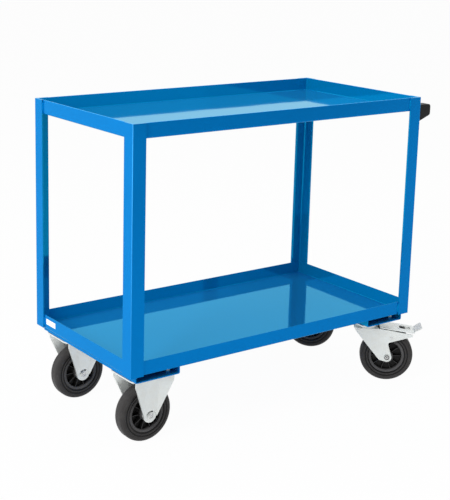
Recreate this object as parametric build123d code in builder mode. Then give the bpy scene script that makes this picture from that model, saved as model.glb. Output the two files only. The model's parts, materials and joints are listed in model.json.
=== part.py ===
from build123d import *
import os
from math import cos, hypot, radians, sin, tan

os.makedirs("parts", exist_ok=True)

# Driving dimensions, in millimetres and degrees.
# The origin is on the floor under the middle of the frame.
# X runs along the trolley with the handle at +X, -Y is the front, Z is up.

# Frame of angle posts
frame_length = 1000
frame_width = 505
post_height = 661
post_flange = 40
post_thickness = 4
post_root_radius = 5
post_edge_radius = 1.5

# Sheet trays welded inside the posts
tray_rim = 40
tray_sheet = 2
tray_bend = 4
tray_lip_radius = 0.6
tray_corner_clearance = 1

# Channel beams under the lower tray
beam_width = 140
beam_height = 20
beam_sheet = 3
beam_bend = 4
beam_setback = 20

# Castor plates and their bolts
castor_inset = 77.5
plate_length = 140
plate_width = 110
plate_thickness = 4
plate_corner = 10
bolt_pitch_x = 105
bolt_pitch_y = 75
bolt_size = 10
bolt_hole = 11
bolt_head = 6.4
bolt_flats = 16
bolt_nut = 8
bolt_end = 2
thread_clearance = 0.05

# Wheels
wheel_diameter = 160
tyre_width = 40
tyre_depth = 26
tyre_shoulder = 12
tyre_rib = 1.2
seat_clearance = 0.05
rim_ring = 8
rim_recess = 2
web_thickness = 7
rib_count = 10
rib_thickness = 3
rib_recess = 3
hub_length = 60
hub_diameter = 38
hub_side_gap = 0.5

# Axles
axle_size = 12
axle_hole = 12.4
axle_flats = 18
axle_head = 3.5
axle_head_size = 18
axle_head_round = 1
axle_groove_outer = 14.5
axle_groove_inner = 10
axle_groove_depth = 2
axle_dimple = 4.5
axle_dimple_depth = 1.5
axle_nut_height = 10
axle_end = 3
sleeve_wall = 2
roller_size = 4
roller_count = 10
running_clearance = 0.05

# Pressed sheet of the castor brackets and forks
castor_sheet = 4
sheet_bend = 6
leg_end_radius = 20

# Fixed brackets
leg_top_width = 120
panel_width = 40
panel_offset = 45
leg_lean = 4.5
wing_flare = 17
leg_shoulder = 15
pocket_radius = 20
pocket_drop = 6
crescent_radius = 12.5
crescent_width = 5
crescent_angle = 75

# Swivel heads and forks
swivel_trail = 60
front_swivel_angle = -40
rear_swivel_angle = -47
crown_gap = 7
head_height = 20
crown_front = 42
crown_rear = 30
crown_corner = 20
crown_round = 2
race_inset = 1
race_width = 11
race_height = 9
ball_size = 7
ball_count = 18
king_pin_size = 12
king_head_size = 24
king_head_height = 6
king_gap = 0.3
fork_front_drop = 5
fork_foot_reach = 23
fork_foot_rise = 9
fork_foot_radius = 9
fork_end_radius = 14
fork_throat_reach = 1
fork_throat_radius = 6
arm_root_depth = 45
arm_reach = 75
arm_drop = 16
arm_tip = 6

# Brake pedals
pedal_sheet = 2.5
pedal_gap = 2.5
pedal_front_rise = 2
pedal_rear_rise = 4.5
pedal_inset = 0.5
pedal_room = 10
pedal_ear = 8
pedal_ear_root = 14
pedal_bend = 3
pedal_pin_size = 6
pedal_pin_behind = 11
pedal_pin_rise = 62
pin_head_size = 9
pin_head_height = 1.5
pin_side_gap = 0.3
pedal_front_gap = 5
pedal_overhang = 5
slot_length = 34
slot_width = 26
slot_corner = 6
slot_setback = 11
emboss_border = 7
emboss_height = 1.2
emboss_taper = 45
tongue_length = 24
tongue_angle = 30
tongue_width = 40
tread_base = 42
tread_end = 52
tread_thickness = 3
tread_margin = 2
brake_travel = 3.4
pad_length = 26
pad_reach = 41
pad_clearance = 0.4

# Push handle
handle_reach = 48
handle_below_top = 24
bracket_tip = 32
bracket_root = 50
bracket_width = 30
bracket_round = 8
bracket_edge = 2
grip_diameter = 22
grip_wall = 2.5
grip_setback = 14
grip_socket = 20
screw_size = 6
screw_head = 4
screw_flats = 10
screw_depth = 12
screw_end_gap = 1
screw_pitch = 13
screw_hole = 6.4
screw_below_tray = 11

# Heights and places that follow from the sizes above
wheel_radius = wheel_diameter / 2
crown_bottom = wheel_diameter + crown_gap
crown_top = crown_bottom + castor_sheet
plate_bottom = crown_top + head_height
plate_top = plate_bottom + plate_thickness
post_bottom = plate_top + beam_height
post_top = post_bottom + post_height
tray_length = frame_length - 2 * post_thickness
tray_width = frame_width - 2 * post_thickness
tray_corner = post_root_radius + tray_corner_clearance
beam_length = tray_width - 2 * tray_bend
beam_x = frame_length / 2 - beam_setback - beam_width / 2
castor_y = frame_width / 2 - castor_inset
castor_centres = [(x, y) for x in (-beam_x, beam_x) for y in (-castor_y, castor_y)]
leg_inner = hub_length / 2 + hub_side_gap
leg_outer = leg_inner + castor_sheet
sleeve_radius = axle_size / 2 + running_clearance + sleeve_wall
roller_pitch = sleeve_radius + running_clearance + roller_size / 2
hub_bore = roller_pitch + roller_size / 2 + running_clearance
seat_radius = wheel_radius - tyre_depth
ring_inner = seat_radius - rim_ring
ring_half = tyre_width / 2 - rim_recess
top_screw = post_top - tray_rim - screw_below_tray
screw_heights = (top_screw, top_screw - screw_pitch)


def save(builder, name):
    builder.part.label = name
    export_step(builder.part, f"parts/{name}.step")


def castor_frame(x, y, angle=0):
    """Plane on the floor under a castor, its x along the rolling direction."""
    return Plane((x, y, 0), x_dir=(cos(radians(angle)), sin(radians(angle)), 0), z_dir=(0, 0, 1))


def side_plane(base, across=0):
    """Upright plane of a castor's side view: local x along its frame, local y up."""
    return Plane(base.origin + base.y_dir * across, x_dir=base.x_dir, z_dir=-base.y_dir)


def axle_centre(base, reach):
    return base.origin + base.x_dir * reach + Vector(0, 0, wheel_radius)


def axle_section(base, reach):
    """Plane through an axle: local x along the axle, local y the radius."""
    return Plane(axle_centre(base, reach), x_dir=base.y_dir, z_dir=base.x_dir)


def axle_disc(base, reach, along=0):
    """Plane square to an axle, at a distance along it."""
    return Plane(axle_centre(base, reach) + base.y_dir * along, x_dir=base.x_dir, z_dir=base.y_dir)


def axle_axis(base, reach):
    return Axis(axle_centre(base, reach), base.y_dir)


# Corner posts
def corner_post(name, end, side):
    def inward(x, y):
        return (end * (frame_length / 2 - x), side * (frame_width / 2 - y))

    with BuildPart() as post:
        with BuildSketch(Plane.XY.offset(post_bottom)) as angle:
            with BuildLine():
                Polyline(
                    inward(0, 0),
                    inward(post_flange, 0),
                    inward(post_flange, post_thickness),
                    inward(post_thickness, post_thickness),
                    inward(post_thickness, post_flange),
                    inward(0, post_flange),
                    close=True,
                )
            make_face()
            rounded = [(0, 0), (post_flange, post_thickness), (post_thickness, post_flange)]
            for place in rounded:
                corner = angle.vertices().sort_by_distance(Vector(*inward(*place)))[0]
                fillet(corner, post_edge_radius)
            root = Vector(*inward(post_thickness, post_thickness))
            fillet(angle.vertices().sort_by_distance(root)[0], post_root_radius)
        extrude(amount=post_height)
        if end > 0:
            flange_middle = side * (frame_width / 2 - post_flange / 2)
            with BuildSketch(Plane((frame_length / 2, 0, 0), x_dir=(0, 1, 0), z_dir=(1, 0, 0))):
                with Locations(*[(flange_middle, z) for z in screw_heights]):
                    Circle(screw_hole / 2)
            extrude(amount=-post_thickness, mode=Mode.SUBTRACT)
    save(post, name)


for end_name, end in (("left", -1), ("right", 1)):
    for side_name, side in (("front", -1), ("rear", 1)):
        corner_post(f"{end_name}_{side_name}_post", end, side)


# Trays
def tray(name, bottom):
    with BuildPart() as sheet:
        with BuildSketch(Plane.XY.offset(bottom)):
            RectangleRounded(tray_length, tray_width, tray_corner)
        extrude(amount=tray_rim)
        fillet(sheet.faces().sort_by(Axis.Z)[0].edges(), tray_bend)
        offset(amount=-tray_sheet, openings=sheet.faces().sort_by(Axis.Z)[-1])
        fillet(sheet.faces().sort_by(Axis.Z)[-1].edges(), tray_lip_radius)
    save(sheet, name)


tray("lower_tray", post_bottom)
tray("upper_tray", post_top - tray_rim)


# Channel beams, open towards the tray
def castor_beam(name, x):
    with BuildPart() as beam:
        with BuildSketch(Plane((x, 0, plate_top), x_dir=(1, 0, 0), z_dir=(0, -1, 0))) as channel:
            Rectangle(beam_width, beam_height, align=(Align.CENTER, Align.MIN))
            fillet(channel.vertices().group_by(Axis.Y)[0], beam_bend)
            with Locations((0, beam_sheet)):
                Rectangle(
                    beam_width - 2 * beam_sheet,
                    beam_height - beam_sheet,
                    align=(Align.CENTER, Align.MIN),
                    mode=Mode.SUBTRACT,
                )
        extrude(amount=beam_length / 2, both=True)
        with BuildSketch(Plane((x, 0, plate_top))):
            with Locations((0, -castor_y), (0, castor_y)):
                with GridLocations(bolt_pitch_x, bolt_pitch_y, 2, 2):
                    Circle(bolt_hole / 2)
        extrude(amount=beam_sheet, mode=Mode.SUBTRACT)
    save(beam, name)


castor_beam("left_castor_beam", -beam_x)
castor_beam("right_castor_beam", beam_x)

# Bolts from below through each castor plate and its beam
with BuildPart() as castor_bolts:
    with BuildSketch(Plane.XY.offset(plate_bottom - bolt_head)):
        with Locations(*castor_centres):
            with GridLocations(bolt_pitch_x, bolt_pitch_y, 2, 2):
                RegularPolygon(bolt_flats / 2, 6, major_radius=False)
    extrude(amount=bolt_head)
    with BuildSketch(Plane.XY.offset(plate_bottom)):
        with Locations(*castor_centres):
            with GridLocations(bolt_pitch_x, bolt_pitch_y, 2, 2):
                Circle(bolt_size / 2)
    extrude(amount=plate_thickness + beam_sheet + bolt_nut + bolt_end)
save(castor_bolts, "castor_bolts")

# Nuts inside the beams
with BuildPart() as castor_nuts:
    with BuildSketch(Plane.XY.offset(plate_top + beam_sheet)):
        with Locations(*castor_centres):
            with GridLocations(bolt_pitch_x, bolt_pitch_y, 2, 2):
                RegularPolygon(bolt_flats / 2, 6, major_radius=False)
                Circle(bolt_size / 2 + thread_clearance, mode=Mode.SUBTRACT)
    extrude(amount=bolt_nut)
save(castor_nuts, "castor_nuts")


# Wheel: ribbed plastic centre and rubber tyre
def wheel_centre(name, base, reach):
    with BuildPart() as centre:
        with BuildSketch(axle_section(base, reach)):
            with BuildLine():
                Polyline(
                    (0, hub_bore),
                    (hub_length / 2, hub_bore),
                    (hub_length / 2, hub_diameter / 2),
                    (web_thickness / 2, hub_diameter / 2),
                    (web_thickness / 2, ring_inner),
                    (ring_half, ring_inner),
                    (ring_half, seat_radius),
                    (0, seat_radius),
                )
                mirror(about=Plane.YZ)
            make_face()
        revolve(axis=axle_axis(base, reach))
        rib_middle = (hub_diameter / 2 + ring_inner) / 2
        rib_length = ring_inner - hub_diameter / 2 + rim_ring
        with BuildSketch(axle_disc(base, reach)):
            with PolarLocations(rib_middle, rib_count, start_angle=180 / rib_count):
                Rectangle(rib_length, rib_thickness)
        extrude(amount=ring_half - rib_recess, both=True)
    save(centre, name)


def wheel_tyre(name, base, reach):
    half = tyre_width / 2
    bead = seat_radius + seat_clearance
    rib_foot = bead + 2 * tyre_rib
    rib_top = rib_foot + 3 * tyre_rib
    with BuildPart() as tyre:
        with BuildSketch(axle_section(base, reach)):
            with BuildLine():
                Polyline(
                    (0, bead),
                    (ring_half, bead),
                    (half - tyre_rib, rib_foot),
                    (half, rib_foot + tyre_rib),
                    (half, rib_top),
                    (half - tyre_rib, rib_top + tyre_rib),
                    (half - tyre_rib, rib_top + 3 * tyre_rib),
                    (half, rib_top + 4 * tyre_rib),
                    (half, wheel_radius - tyre_shoulder),
                )
                shoulder = (half - tyre_shoulder, wheel_radius - tyre_shoulder)
                CenterArc(shoulder, tyre_shoulder, 0, 90)
                Line((half - tyre_shoulder, wheel_radius), (0, wheel_radius))
                mirror(about=Plane.YZ)
            make_face()
        revolve(axis=axle_axis(base, reach))
    save(tyre, name)


# Axle bolt, nut, sleeve and the rollers that run on it
def axle_parts(name, base, reach):
    shank_start = -leg_outer
    shank_length = 2 * leg_outer + axle_nut_height + axle_end
    with BuildPart() as bolt:
        with BuildSketch(axle_disc(base, reach, shank_start - axle_head)):
            Circle(axle_head_size / 2)
        extrude(amount=axle_head)
        fillet(bolt.edges().sort_by(Axis(base.origin, base.y_dir))[0], axle_head_round)
        with BuildSketch(axle_disc(base, reach, shank_start - axle_head)):
            Circle(axle_groove_outer / 2)
            Circle(axle_groove_inner / 2, mode=Mode.SUBTRACT)
        extrude(amount=axle_groove_depth, mode=Mode.SUBTRACT)
        with BuildSketch(axle_disc(base, reach, shank_start - axle_head)):
            Circle(axle_dimple / 2)
        extrude(amount=axle_dimple_depth, mode=Mode.SUBTRACT)
        with BuildSketch(axle_disc(base, reach, shank_start)):
            Circle(axle_size / 2)
        extrude(amount=shank_length)
    save(bolt, f"{name}_axle_bolt")

    with BuildPart() as nut:
        with BuildSketch(axle_disc(base, reach, leg_outer)):
            RegularPolygon(axle_flats / 2, 6, major_radius=False)
            Circle(axle_size / 2 + thread_clearance, mode=Mode.SUBTRACT)
        extrude(amount=axle_nut_height)
    save(nut, f"{name}_axle_nut")

    with BuildPart() as sleeve:
        with BuildSketch(axle_disc(base, reach)):
            Circle(sleeve_radius)
            Circle(axle_size / 2 + running_clearance, mode=Mode.SUBTRACT)
        extrude(amount=leg_inner, both=True)
    save(sleeve, f"{name}_axle_sleeve")

    with BuildPart() as rollers:
        with BuildSketch(axle_disc(base, reach)):
            with PolarLocations(roller_pitch, roller_count):
                Circle(roller_size / 2)
        extrude(amount=hub_length / 2, both=True)
    save(rollers, f"{name}_axle_rollers")


# Fixed bracket: plate and two leaning pressed legs with flared wings,
# a pocket round the axle and a crescent slit over it
def fixed_bracket(name, base):
    wing_half = leg_top_width / 2 + castor_sheet
    wing_out = panel_offset + (wing_half - panel_width / 2) * tan(radians(wing_flare))
    pocket_height = wheel_radius - pocket_drop
    lean = tan(radians(leg_lean))
    panel_at_pocket = panel_offset - (plate_bottom - pocket_height - pocket_radius) * lean
    with BuildPart() as bracket:
        for side in (1, -1):
            with BuildSketch(base.offset(plate_bottom)):
                with BuildLine():
                    FilletPolyline(
                        (-wing_half, side * wing_out),
                        (-panel_width / 2, side * panel_offset),
                        (panel_width / 2, side * panel_offset),
                        (wing_half, side * wing_out),
                        radius=sheet_bend,
                    )
                trace(line_width=castor_sheet)
            down = base.y_dir * -side * lean - base.z_dir
            extrude(amount=plate_bottom * down.length, dir=down.normalized())
        with BuildSketch(side_plane(base)):
            with Locations((0, pocket_height)):
                Circle(pocket_radius)
        extrude(amount=plate_width, both=True, mode=Mode.SUBTRACT)
        for side in (1, -1):
            with BuildSketch(side_plane(base, side * leg_inner)):
                with Locations((0, pocket_height)):
                    Circle(pocket_radius + castor_sheet)
            extrude(amount=-side * castor_sheet)
            with BuildSketch(side_plane(base, side * leg_inner)):
                with Locations((0, pocket_height)):
                    Circle(pocket_radius + castor_sheet)
                    Circle(pocket_radius, mode=Mode.SUBTRACT)
            extrude(amount=-side * (panel_at_pocket - leg_inner))
        with BuildSketch(side_plane(base)):
            with BuildLine():
                CenterArc((0, wheel_radius), leg_end_radius, 0, 360)
                Polyline(
                    (-leg_top_width / 2, plate_bottom),
                    (-leg_top_width / 2, plate_bottom - leg_shoulder),
                    (leg_top_width / 2, plate_bottom - leg_shoulder),
                    (leg_top_width / 2, plate_bottom),
                    close=True,
                )
            make_hull()
        extrude(amount=plate_width, both=True, mode=Mode.INTERSECT)
        with BuildSketch(base.offset(plate_bottom)):
            RectangleRounded(plate_length, plate_width, plate_corner)
            with GridLocations(bolt_pitch_x, bolt_pitch_y, 2, 2):
                Circle(bolt_hole / 2, mode=Mode.SUBTRACT)
        extrude(amount=plate_thickness)
        crescent_start = 90 - crescent_angle / 2
        crescent = CenterArc((0, wheel_radius), crescent_radius, crescent_start, crescent_angle)
        with BuildSketch(side_plane(base)):
            SlotArc(crescent, crescent_width)
            with Locations((0, wheel_radius)):
                Circle(axle_hole / 2)
        extrude(amount=plate_width, both=True, mode=Mode.SUBTRACT)
    save(bracket, name)


# Top plate of a swivel castor with its upper ball race
race_outer = leg_outer - race_inset
race_inner = race_outer - race_width
ball_pitch = race_outer - race_width / 2
ball_height = crown_top + head_height / 2
groove_radius = ball_size / 2 + running_clearance


def top_plate(name, base):
    with BuildPart() as plate:
        with BuildSketch(base.offset(plate_bottom)):
            RectangleRounded(plate_length, plate_width, plate_corner)
            with GridLocations(bolt_pitch_x, bolt_pitch_y, 2, 2):
                Circle(bolt_hole / 2, mode=Mode.SUBTRACT)
        extrude(amount=plate_thickness)
        with BuildSketch(base.offset(plate_bottom)):
            Circle(race_outer)
            Circle(race_inner, mode=Mode.SUBTRACT)
        extrude(amount=-race_height)
        with Locations(base.offset(ball_height)):
            Torus(ball_pitch, groove_radius, mode=Mode.SUBTRACT)
        with BuildSketch(base.offset(plate_top)):
            Circle(king_pin_size / 2 + thread_clearance)
        extrude(amount=-plate_thickness, mode=Mode.SUBTRACT)
    save(plate, name)


def king_pin(name, base):
    with BuildPart() as pin:
        with BuildSketch(base.offset(crown_bottom - king_gap)):
            Circle(king_head_size / 2)
        extrude(amount=-king_head_height)
        fillet(pin.edges().sort_by(Axis.Z)[0], king_head_height / 3)
        with BuildSketch(base.offset(crown_bottom - king_gap)):
            Circle(king_pin_size / 2)
        extrude(amount=plate_top - crown_bottom + king_gap)
    save(pin, name)


def swivel_balls(name, base):
    with BuildPart() as balls:
        with Locations(base.offset(ball_height)):
            with PolarLocations(ball_pitch, ball_count):
                Sphere(ball_size / 2)
    save(balls, name)


# Fork: pressed crown and two legs whose rear arms carry the brake pedal
arm_end = swivel_trail + arm_reach
arm_slope = -arm_drop / (arm_end - crown_rear)


def arm_height(reach):
    """Height of the arms' top edge at a distance behind the swivel axis."""
    return crown_top + arm_slope * (reach - crown_rear)


pin_reach = swivel_trail + pedal_pin_behind
pin_height = wheel_radius + pedal_pin_rise


def swivel_fork(name, base):
    with BuildPart() as fork:
        with BuildSketch(base) as shell:
            with Locations((-crown_front, 0)):
                Rectangle(crown_front + arm_end, 2 * leg_outer, align=(Align.MIN, Align.CENTER))
            fillet(shell.vertices().group_by(Axis.X)[0], crown_corner)
        extrude(amount=crown_top)
        top_edges = fork.faces().sort_by(Axis.Z)[-1].edges()
        fillet(top_edges.sort_by(Axis(base.origin, base.x_dir))[:-1], crown_round)
        with BuildSketch(base) as inside:
            with Locations((castor_sheet - crown_front, 0)):
                Rectangle(crown_front + arm_end, 2 * leg_inner, align=(Align.MIN, Align.CENTER))
            fillet(inside.vertices().group_by(Axis.X)[0], crown_corner - castor_sheet)
        extrude(amount=crown_bottom, mode=Mode.SUBTRACT)
        with BuildSketch(base.offset(crown_bottom)):
            with Locations((crown_rear, 0)):
                Rectangle(arm_end, 2 * leg_inner, align=(Align.MIN, Align.CENTER))
        extrude(amount=castor_sheet, mode=Mode.SUBTRACT)
        foot = (swivel_trail - fork_foot_reach, wheel_radius - fork_foot_rise)
        throat = (swivel_trail + fork_throat_reach, crown_top - arm_root_depth)
        with BuildSketch(side_plane(base)) as outline:
            with BuildLine():
                Polyline(
                    (-crown_front, crown_top),
                    (-crown_front, crown_top - fork_front_drop),
                    foot,
                    (swivel_trail, wheel_radius - fork_end_radius),
                    (swivel_trail + fork_end_radius, wheel_radius),
                    throat,
                    (arm_end, arm_height(arm_end) - arm_tip),
                    (arm_end, arm_height(arm_end)),
                    (crown_rear, crown_top),
                    close=True,
                )
            make_face()
            fillet(outline.vertices().sort_by_distance(Vector(*foot))[0], fork_foot_radius)
            fillet(outline.vertices().sort_by_distance(Vector(*throat))[0], fork_throat_radius)
            with Locations((swivel_trail, wheel_radius)):
                Circle(fork_end_radius)
        extrude(amount=2 * leg_outer, both=True, mode=Mode.INTERSECT)
        with BuildSketch(base.offset(crown_top)):
            Circle(race_outer)
            Circle(race_inner, mode=Mode.SUBTRACT)
        extrude(amount=race_height)
        with Locations(base.offset(ball_height)):
            Torus(ball_pitch, groove_radius, mode=Mode.SUBTRACT)
        with BuildSketch(base.offset(crown_bottom)):
            Circle(king_pin_size / 2 + running_clearance)
        extrude(amount=castor_sheet, mode=Mode.SUBTRACT)
        with BuildSketch(side_plane(base)):
            with Locations((swivel_trail, wheel_radius)):
                Circle(axle_hole / 2)
            with Locations((pin_reach, pin_height)):
                Circle(pedal_pin_size / 2 + thread_clearance)
        extrude(amount=2 * leg_outer, both=True, mode=Mode.SUBTRACT)
    save(fork, name)


# Brake pedal: plate over the fork's arms with ears hinged between them,
# a slot in a raised border and an upturned tongue
pedal_half = leg_inner - pedal_gap
pedal_start = crown_rear + pedal_front_gap
pedal_stop = arm_end + pedal_overhang
pedal_spread = (pedal_rear_rise - pedal_front_rise) / (pedal_stop - pedal_start)
pedal_slope = arm_slope + pedal_spread


def pedal_underside(reach):
    """Height of the plate's lower face, which rises off the arms towards its rear end."""
    return arm_height(reach) + pedal_front_rise + pedal_spread * (reach - pedal_start)


def pedal_top(reach):
    return pedal_underside(reach) + pedal_sheet * hypot(1, pedal_slope)


def tongue_frame(base):
    """Plane on the tongue's upper face, its x towards the tip."""
    lift = radians(tongue_angle)
    root = base.origin + base.x_dir * pedal_stop + Vector(0, 0, pedal_top(pedal_stop))
    along = base.x_dir * cos(lift) + Vector(0, 0, sin(lift))
    up = base.x_dir * -sin(lift) + Vector(0, 0, cos(lift))
    return Plane(root, x_dir=along, z_dir=up)


def brake_pedal(name, base):
    start = base.origin + base.x_dir * pedal_start + Vector(0, 0, pedal_top(pedal_start))
    along = (base.x_dir + Vector(0, 0, pedal_slope)).normalized()
    wall = pedal_half - pedal_sheet / 2
    ear_depth = pedal_top(pedal_start) - pin_height + 2 * pedal_ear
    ear_front = pin_reach - pedal_ear_root
    ear_rear = pin_reach + pedal_ear_root
    slot_reach = pedal_stop - slot_setback - slot_length / 2
    emboss_place = base.origin + base.x_dir * slot_reach + Vector(0, 0, pedal_top(slot_reach))
    upward = (base.z_dir - base.x_dir * pedal_slope).normalized()
    with BuildPart() as pedal:
        with BuildSketch(Plane(start, x_dir=base.y_dir, z_dir=along)):
            with BuildLine():
                FilletPolyline(
                    (-wall, -ear_depth),
                    (-wall, -pedal_sheet / 2),
                    (wall, -pedal_sheet / 2),
                    (wall, -ear_depth),
                    radius=pedal_bend,
                )
            trace(line_width=pedal_sheet)
            with Locations((0, -pedal_sheet / 2)):
                Rectangle(2 * (leg_outer - pedal_inset), pedal_sheet)
        extrude(amount=2 * pedal_stop)
        with BuildSketch(side_plane(base)):
            with BuildLine():
                Polyline(
                    (pedal_start, pedal_top(pedal_start) + pedal_room),
                    (pedal_start, pedal_underside(pedal_start)),
                    (ear_front, pedal_underside(ear_front)),
                    (pin_reach - pedal_ear, pin_height),
                    (pin_reach + pedal_ear, pin_height),
                    (ear_rear, pedal_underside(ear_rear)),
                    (pedal_stop, pedal_underside(pedal_stop)),
                    (pedal_stop, pedal_top(pedal_stop) + pedal_room),
                    close=True,
                )
            make_face()
            with Locations((pin_reach, pin_height)):
                Circle(pedal_ear)
        extrude(amount=leg_outer, both=True, mode=Mode.INTERSECT)
        with BuildSketch(Plane(emboss_place, x_dir=along, z_dir=upward)):
            RectangleRounded(
                slot_length + 2 * emboss_border,
                slot_width + 2 * emboss_border,
                slot_corner + emboss_border,
            )
        extrude(amount=emboss_height, taper=emboss_taper)
        with BuildSketch(Plane(emboss_place, x_dir=along, z_dir=upward)):
            RectangleRounded(slot_length, slot_width, slot_corner)
        extrude(amount=pedal_sheet + emboss_height, both=True, mode=Mode.SUBTRACT)
        with BuildSketch(tongue_frame(base)):
            with Locations((-pedal_sheet, 0)):
                Rectangle(
                    tongue_length + pedal_sheet,
                    tongue_width,
                    align=(Align.MIN, Align.CENTER),
                )
        extrude(amount=-pedal_sheet)
        with BuildSketch(side_plane(base)):
            with Locations((pin_reach, pin_height)):
                Circle(pedal_pin_size / 2 + running_clearance)
        extrude(amount=pedal_half, both=True, mode=Mode.SUBTRACT)
    save(pedal, name)


def pedal_tread(name, base):
    with BuildPart() as tread:
        with BuildSketch(tongue_frame(base)) as blade:
            with BuildLine():
                Polyline(
                    (tread_margin, -tread_base / 2),
                    (tread_margin + tongue_length, -tread_end / 2),
                    (tread_margin + tongue_length, tread_end / 2),
                    (tread_margin, tread_base / 2),
                    close=True,
                )
            make_face()
            fillet(blade.vertices(), tread_thickness)
        extrude(amount=tread_thickness)
        fillet(tread.faces().sort_by(Axis.Z)[-1].edges(), tread_thickness / 4)
    save(tread, name)


def brake_pad(name, base):
    # The pad hangs under the pedal's plate; its curve fits the tyre when the pedal is fully down.
    pivot = Vector(pin_reach, pin_height)
    axle = Vector(swivel_trail, wheel_radius)
    curve = pivot + (axle - pivot).rotate(Axis.Z, brake_travel)
    near = swivel_trail + pad_reach - pad_length / 2
    far = near + pad_length
    with BuildPart() as pad:
        with BuildSketch(side_plane(base)):
            with BuildLine():
                Polyline(
                    (near, pedal_underside(near)),
                    (near, wheel_radius),
                    (far, wheel_radius),
                    (far, pedal_underside(far)),
                    close=True,
                )
            make_face()
            with Locations((curve.X, curve.Y)):
                Circle(wheel_radius + pad_clearance, mode=Mode.SUBTRACT)
        extrude(amount=pedal_half - pedal_sheet, both=True)
    save(pad, name)


def pedal_pins(name, base):
    ear_inner = pedal_half - pedal_sheet
    with BuildPart() as pins:
        for side in (1, -1):
            stub = [
                (ear_inner - pin_side_gap - pin_head_height, pin_head_height, pin_head_size),
                (ear_inner - pin_side_gap, leg_outer - ear_inner + pin_side_gap, pedal_pin_size),
                (leg_outer, pin_head_height, pin_head_size),
            ]
            for across, length, size in stub:
                with BuildSketch(side_plane(base, side * across)):
                    with Locations((pin_reach, pin_height)):
                        Circle(size / 2)
                extrude(amount=-side * length)
    save(pins, name)


# Push handle
bracket_y = frame_width / 2 - post_flange / 2
grip_drop = handle_below_top + bracket_tip / 2
grip_radius = grip_diameter / 2


def handle_bracket(name, side):
    end_face = Plane((frame_length / 2, side * bracket_y, post_top), x_dir=(1, 0, 0), z_dir=(0, -1, 0))
    with BuildPart() as bracket:
        with BuildSketch(end_face) as profile:
            with BuildLine():
                Polyline(
                    (0, -handle_below_top),
                    (handle_reach, -handle_below_top),
                    (handle_reach, -handle_below_top - bracket_tip),
                    (0, -handle_below_top - bracket_root),
                    close=True,
                )
            make_face()
            fillet(profile.vertices().group_by(Axis.X)[-1], bracket_round)
        extrude(amount=bracket_width / 2, both=True)
        outer = bracket.faces().sort_by(Axis.Y)
        for face in (outer[0], outer[-1]):
            fillet(face.edges().sort_by(Axis.X)[1:], bracket_edge)
        inner_face = end_face.offset(side * bracket_width / 2)
        with BuildSketch(inner_face):
            with Locations((handle_reach - grip_setback, -grip_drop)):
                Circle(grip_radius + seat_clearance)
        extrude(amount=-side * grip_socket, mode=Mode.SUBTRACT)
        with BuildSketch(Plane((frame_length / 2, 0, 0), x_dir=(0, 1, 0), z_dir=(1, 0, 0))):
            with Locations(*[(side * bracket_y, z) for z in screw_heights]):
                Circle(screw_size / 2 + thread_clearance)
        extrude(amount=screw_depth, mode=Mode.SUBTRACT)
    save(bracket, name)


handle_bracket("front_handle_bracket", -1)
handle_bracket("rear_handle_bracket", 1)

with BuildPart() as handle_grip:
    grip_middle = (frame_length / 2 + handle_reach - grip_setback, 0, post_top - grip_drop)
    with BuildSketch(Plane(grip_middle, x_dir=(1, 0, 0), z_dir=(0, -1, 0))):
        Circle(grip_radius)
        Circle(grip_radius - grip_wall, mode=Mode.SUBTRACT)
    extrude(amount=bracket_y - bracket_width / 2 + grip_socket, both=True)
save(handle_grip, "handle_grip")

# Screws from inside the right-hand posts into the brackets
with BuildPart() as handle_screws:
    screw_places = [(side * bracket_y, z) for side in (-1, 1) for z in screw_heights]
    seat = Plane((frame_length / 2 - post_thickness, 0, 0), x_dir=(0, 1, 0), z_dir=(1, 0, 0))
    with BuildSketch(seat):
        with Locations(*screw_places):
            RegularPolygon(screw_flats / 2, 6, major_radius=False)
    extrude(amount=-screw_head)
    with BuildSketch(seat):
        with Locations(*screw_places):
            Circle(screw_size / 2)
    extrude(amount=post_thickness + screw_depth - screw_end_gap)
save(handle_screws, "handle_screws")

# Fixed castors at the left end, swivel castors with brakes at the right end
for name, y in (("left_front", -castor_y), ("left_rear", castor_y)):
    base = castor_frame(-beam_x, y)
    fixed_bracket(f"{name}_bracket", base)
    wheel_centre(f"{name}_wheel_centre", base, 0)
    wheel_tyre(f"{name}_tyre", base, 0)
    axle_parts(name, base, 0)

swivels = (("right_front", -castor_y, front_swivel_angle), ("right_rear", castor_y, rear_swivel_angle))
for name, y, angle in swivels:
    base = castor_frame(beam_x, y, angle)
    top_plate(f"{name}_top_plate", castor_frame(beam_x, y))
    king_pin(f"{name}_king_pin", base)
    swivel_balls(f"{name}_swivel_balls", base)
    swivel_fork(f"{name}_fork", base)
    wheel_centre(f"{name}_wheel_centre", base, swivel_trail)
    wheel_tyre(f"{name}_tyre", base, swivel_trail)
    axle_parts(name, base, swivel_trail)
    brake_pedal(f"{name}_brake_pedal", base)
    pedal_tread(f"{name}_pedal_tread", base)
    brake_pad(f"{name}_brake_pad", base)
    pedal_pins(f"{name}_pedal_pins", base)
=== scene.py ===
import json
from math import cos, hypot, pi, radians

import bmesh
import bpy
from bpy.props import FloatProperty, FloatVectorProperty, IntProperty, PointerProperty
from bpy.types import Operator, Panel, PropertyGroup
from mathutils import Euler, Matrix, Vector


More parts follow.
